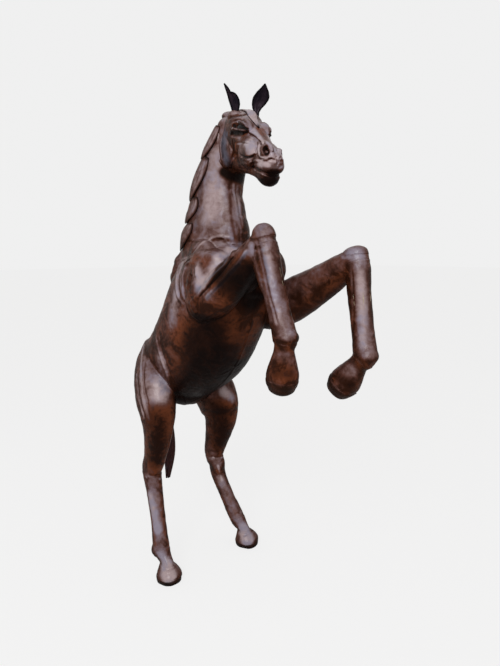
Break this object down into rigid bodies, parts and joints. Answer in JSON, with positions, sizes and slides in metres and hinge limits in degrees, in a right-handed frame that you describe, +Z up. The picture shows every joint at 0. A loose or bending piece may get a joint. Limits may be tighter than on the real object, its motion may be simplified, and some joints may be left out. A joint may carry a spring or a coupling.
{
  "type": "horse sculpture",
  "caption": "Rearing horse figure of leather hide panels over a wood and papier-mache body with a bent steel armature, standing on its hind hooves.",
  "frame": {"origin": "on the floor, under the middle of the figure's box", "axes": "+Z up, +X the way the horse heads, +Y to the horse's left"},
  "size_m": [1.0968, 0.4746, 1.7608],
  "materials": {
    "brown_hide": "satin",
    "dark_hide": "satin",
    "sole_leather": "matte",
    "eye_glass": "gloss",
    "softwood": "matte",
    "papier_mache": "matte",
    "steel": "satin"
  },
  "bodies": {
    "root": {"body_core": "softwood", "body_hide_right": "brown_hide", "body_hide_left": "brown_hide", "spine_rod": "steel", "neck_core": "papier_mache", "neck_hide_right": "brown_hide", "neck_hide_left": "brown_hide", "head_core": "papier_mache", "head_hide": "brown_hide", "jaw_core": "papier_mache", "jaw_hide": "brown_hide", "eye_right": "eye_glass", "eyelid_right": "dark_hide", "eye_left": "eye_glass", "eyelid_left": "dark_hide", "right_hind_upper_core": "softwood", "right_hind_lower_core": "softwood", "right_hind_rod": "steel", "right_hind_upper_hide": "brown_hide", "right_hind_shank_hide": "brown_hide", "right_hind_hoof_hide": "brown_hide", "right_hind_sole": "sole_leather", "left_hind_upper_core": "softwood", "left_hind_lower_core": "softwood", "left_hind_rod": "steel", "left_hind_upper_hide": "brown_hide", "left_hind_shank_hide": "brown_hide", "left_hind_hoof_hide": "brown_hide", "left_hind_sole": "sole_leather", "right_fore_upper_core": "papier_mache", "right_fore_lower_core": "papier_mache", "right_fore_rod": "steel", "right_fore_upper_hide": "brown_hide", "right_fore_shank_hide": "brown_hide", "right_fore_hoof_hide": "brown_hide", "right_fore_sole": "sole_leather", "left_fore_upper_core": "papier_mache", "left_fore_lower_core": "papier_mache", "left_fore_rod": "steel", "left_fore_upper_hide": "brown_hide", "left_fore_shank_hide": "brown_hide", "left_fore_hoof_hide": "brown_hide", "left_fore_sole": "sole_leather", "ear_right": "dark_hide", "ear_left": "dark_hide", "mane_lock_1": "dark_hide", "mane_lock_2": "dark_hide", "mane_lock_3": "dark_hide", "mane_lock_4": "dark_hide", "mane_lock_5": "dark_hide", "mane_lock_6": "dark_hide", "forelock": "dark_hide", "tail": "dark_hide"}
  },
  "joints": []
}
